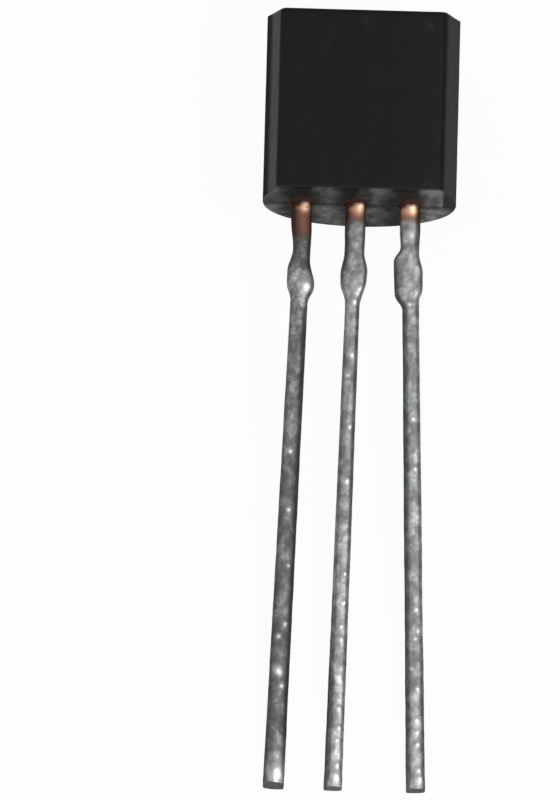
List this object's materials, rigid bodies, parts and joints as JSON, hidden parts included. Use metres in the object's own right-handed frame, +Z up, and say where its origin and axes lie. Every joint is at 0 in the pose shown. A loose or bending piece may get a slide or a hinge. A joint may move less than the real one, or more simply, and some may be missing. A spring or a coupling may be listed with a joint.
{
  "type": "to-92 transistor",
  "caption": "Small through-hole transistor: black moulded body, flat in front and round behind, with slim tinned leads that splay slightly.",
  "frame": {"origin": "on the bench, under the middle of the part's box, with the part lying on its round back and its lead tips", "axes": "+Z up, +Y along the part from the lead tips to the body's top end, +X across the leads from the emitter to the collector; the flat front looks up and leans 8.7 degrees towards the lead tips"},
  "size_m": [0.0046, 0.019, 0.0042],
  "materials": {
    "moulding_compound": "matte",
    "tinned_lead": "satin",
    "silicon": "polished",
    "silver_epoxy": "satin",
    "gold_wire": "polished"
  },
  "bodies": {
    "root": {"body": "moulding_compound", "emitter_lead": "tinned_lead", "base_lead": "tinned_lead", "collector_lead": "tinned_lead", "silicon_die": "silicon", "die_attach": "silver_epoxy", "base_bond_wire": "gold_wire", "emitter_bond_wire": "gold_wire"}
  },
  "joints": []
}
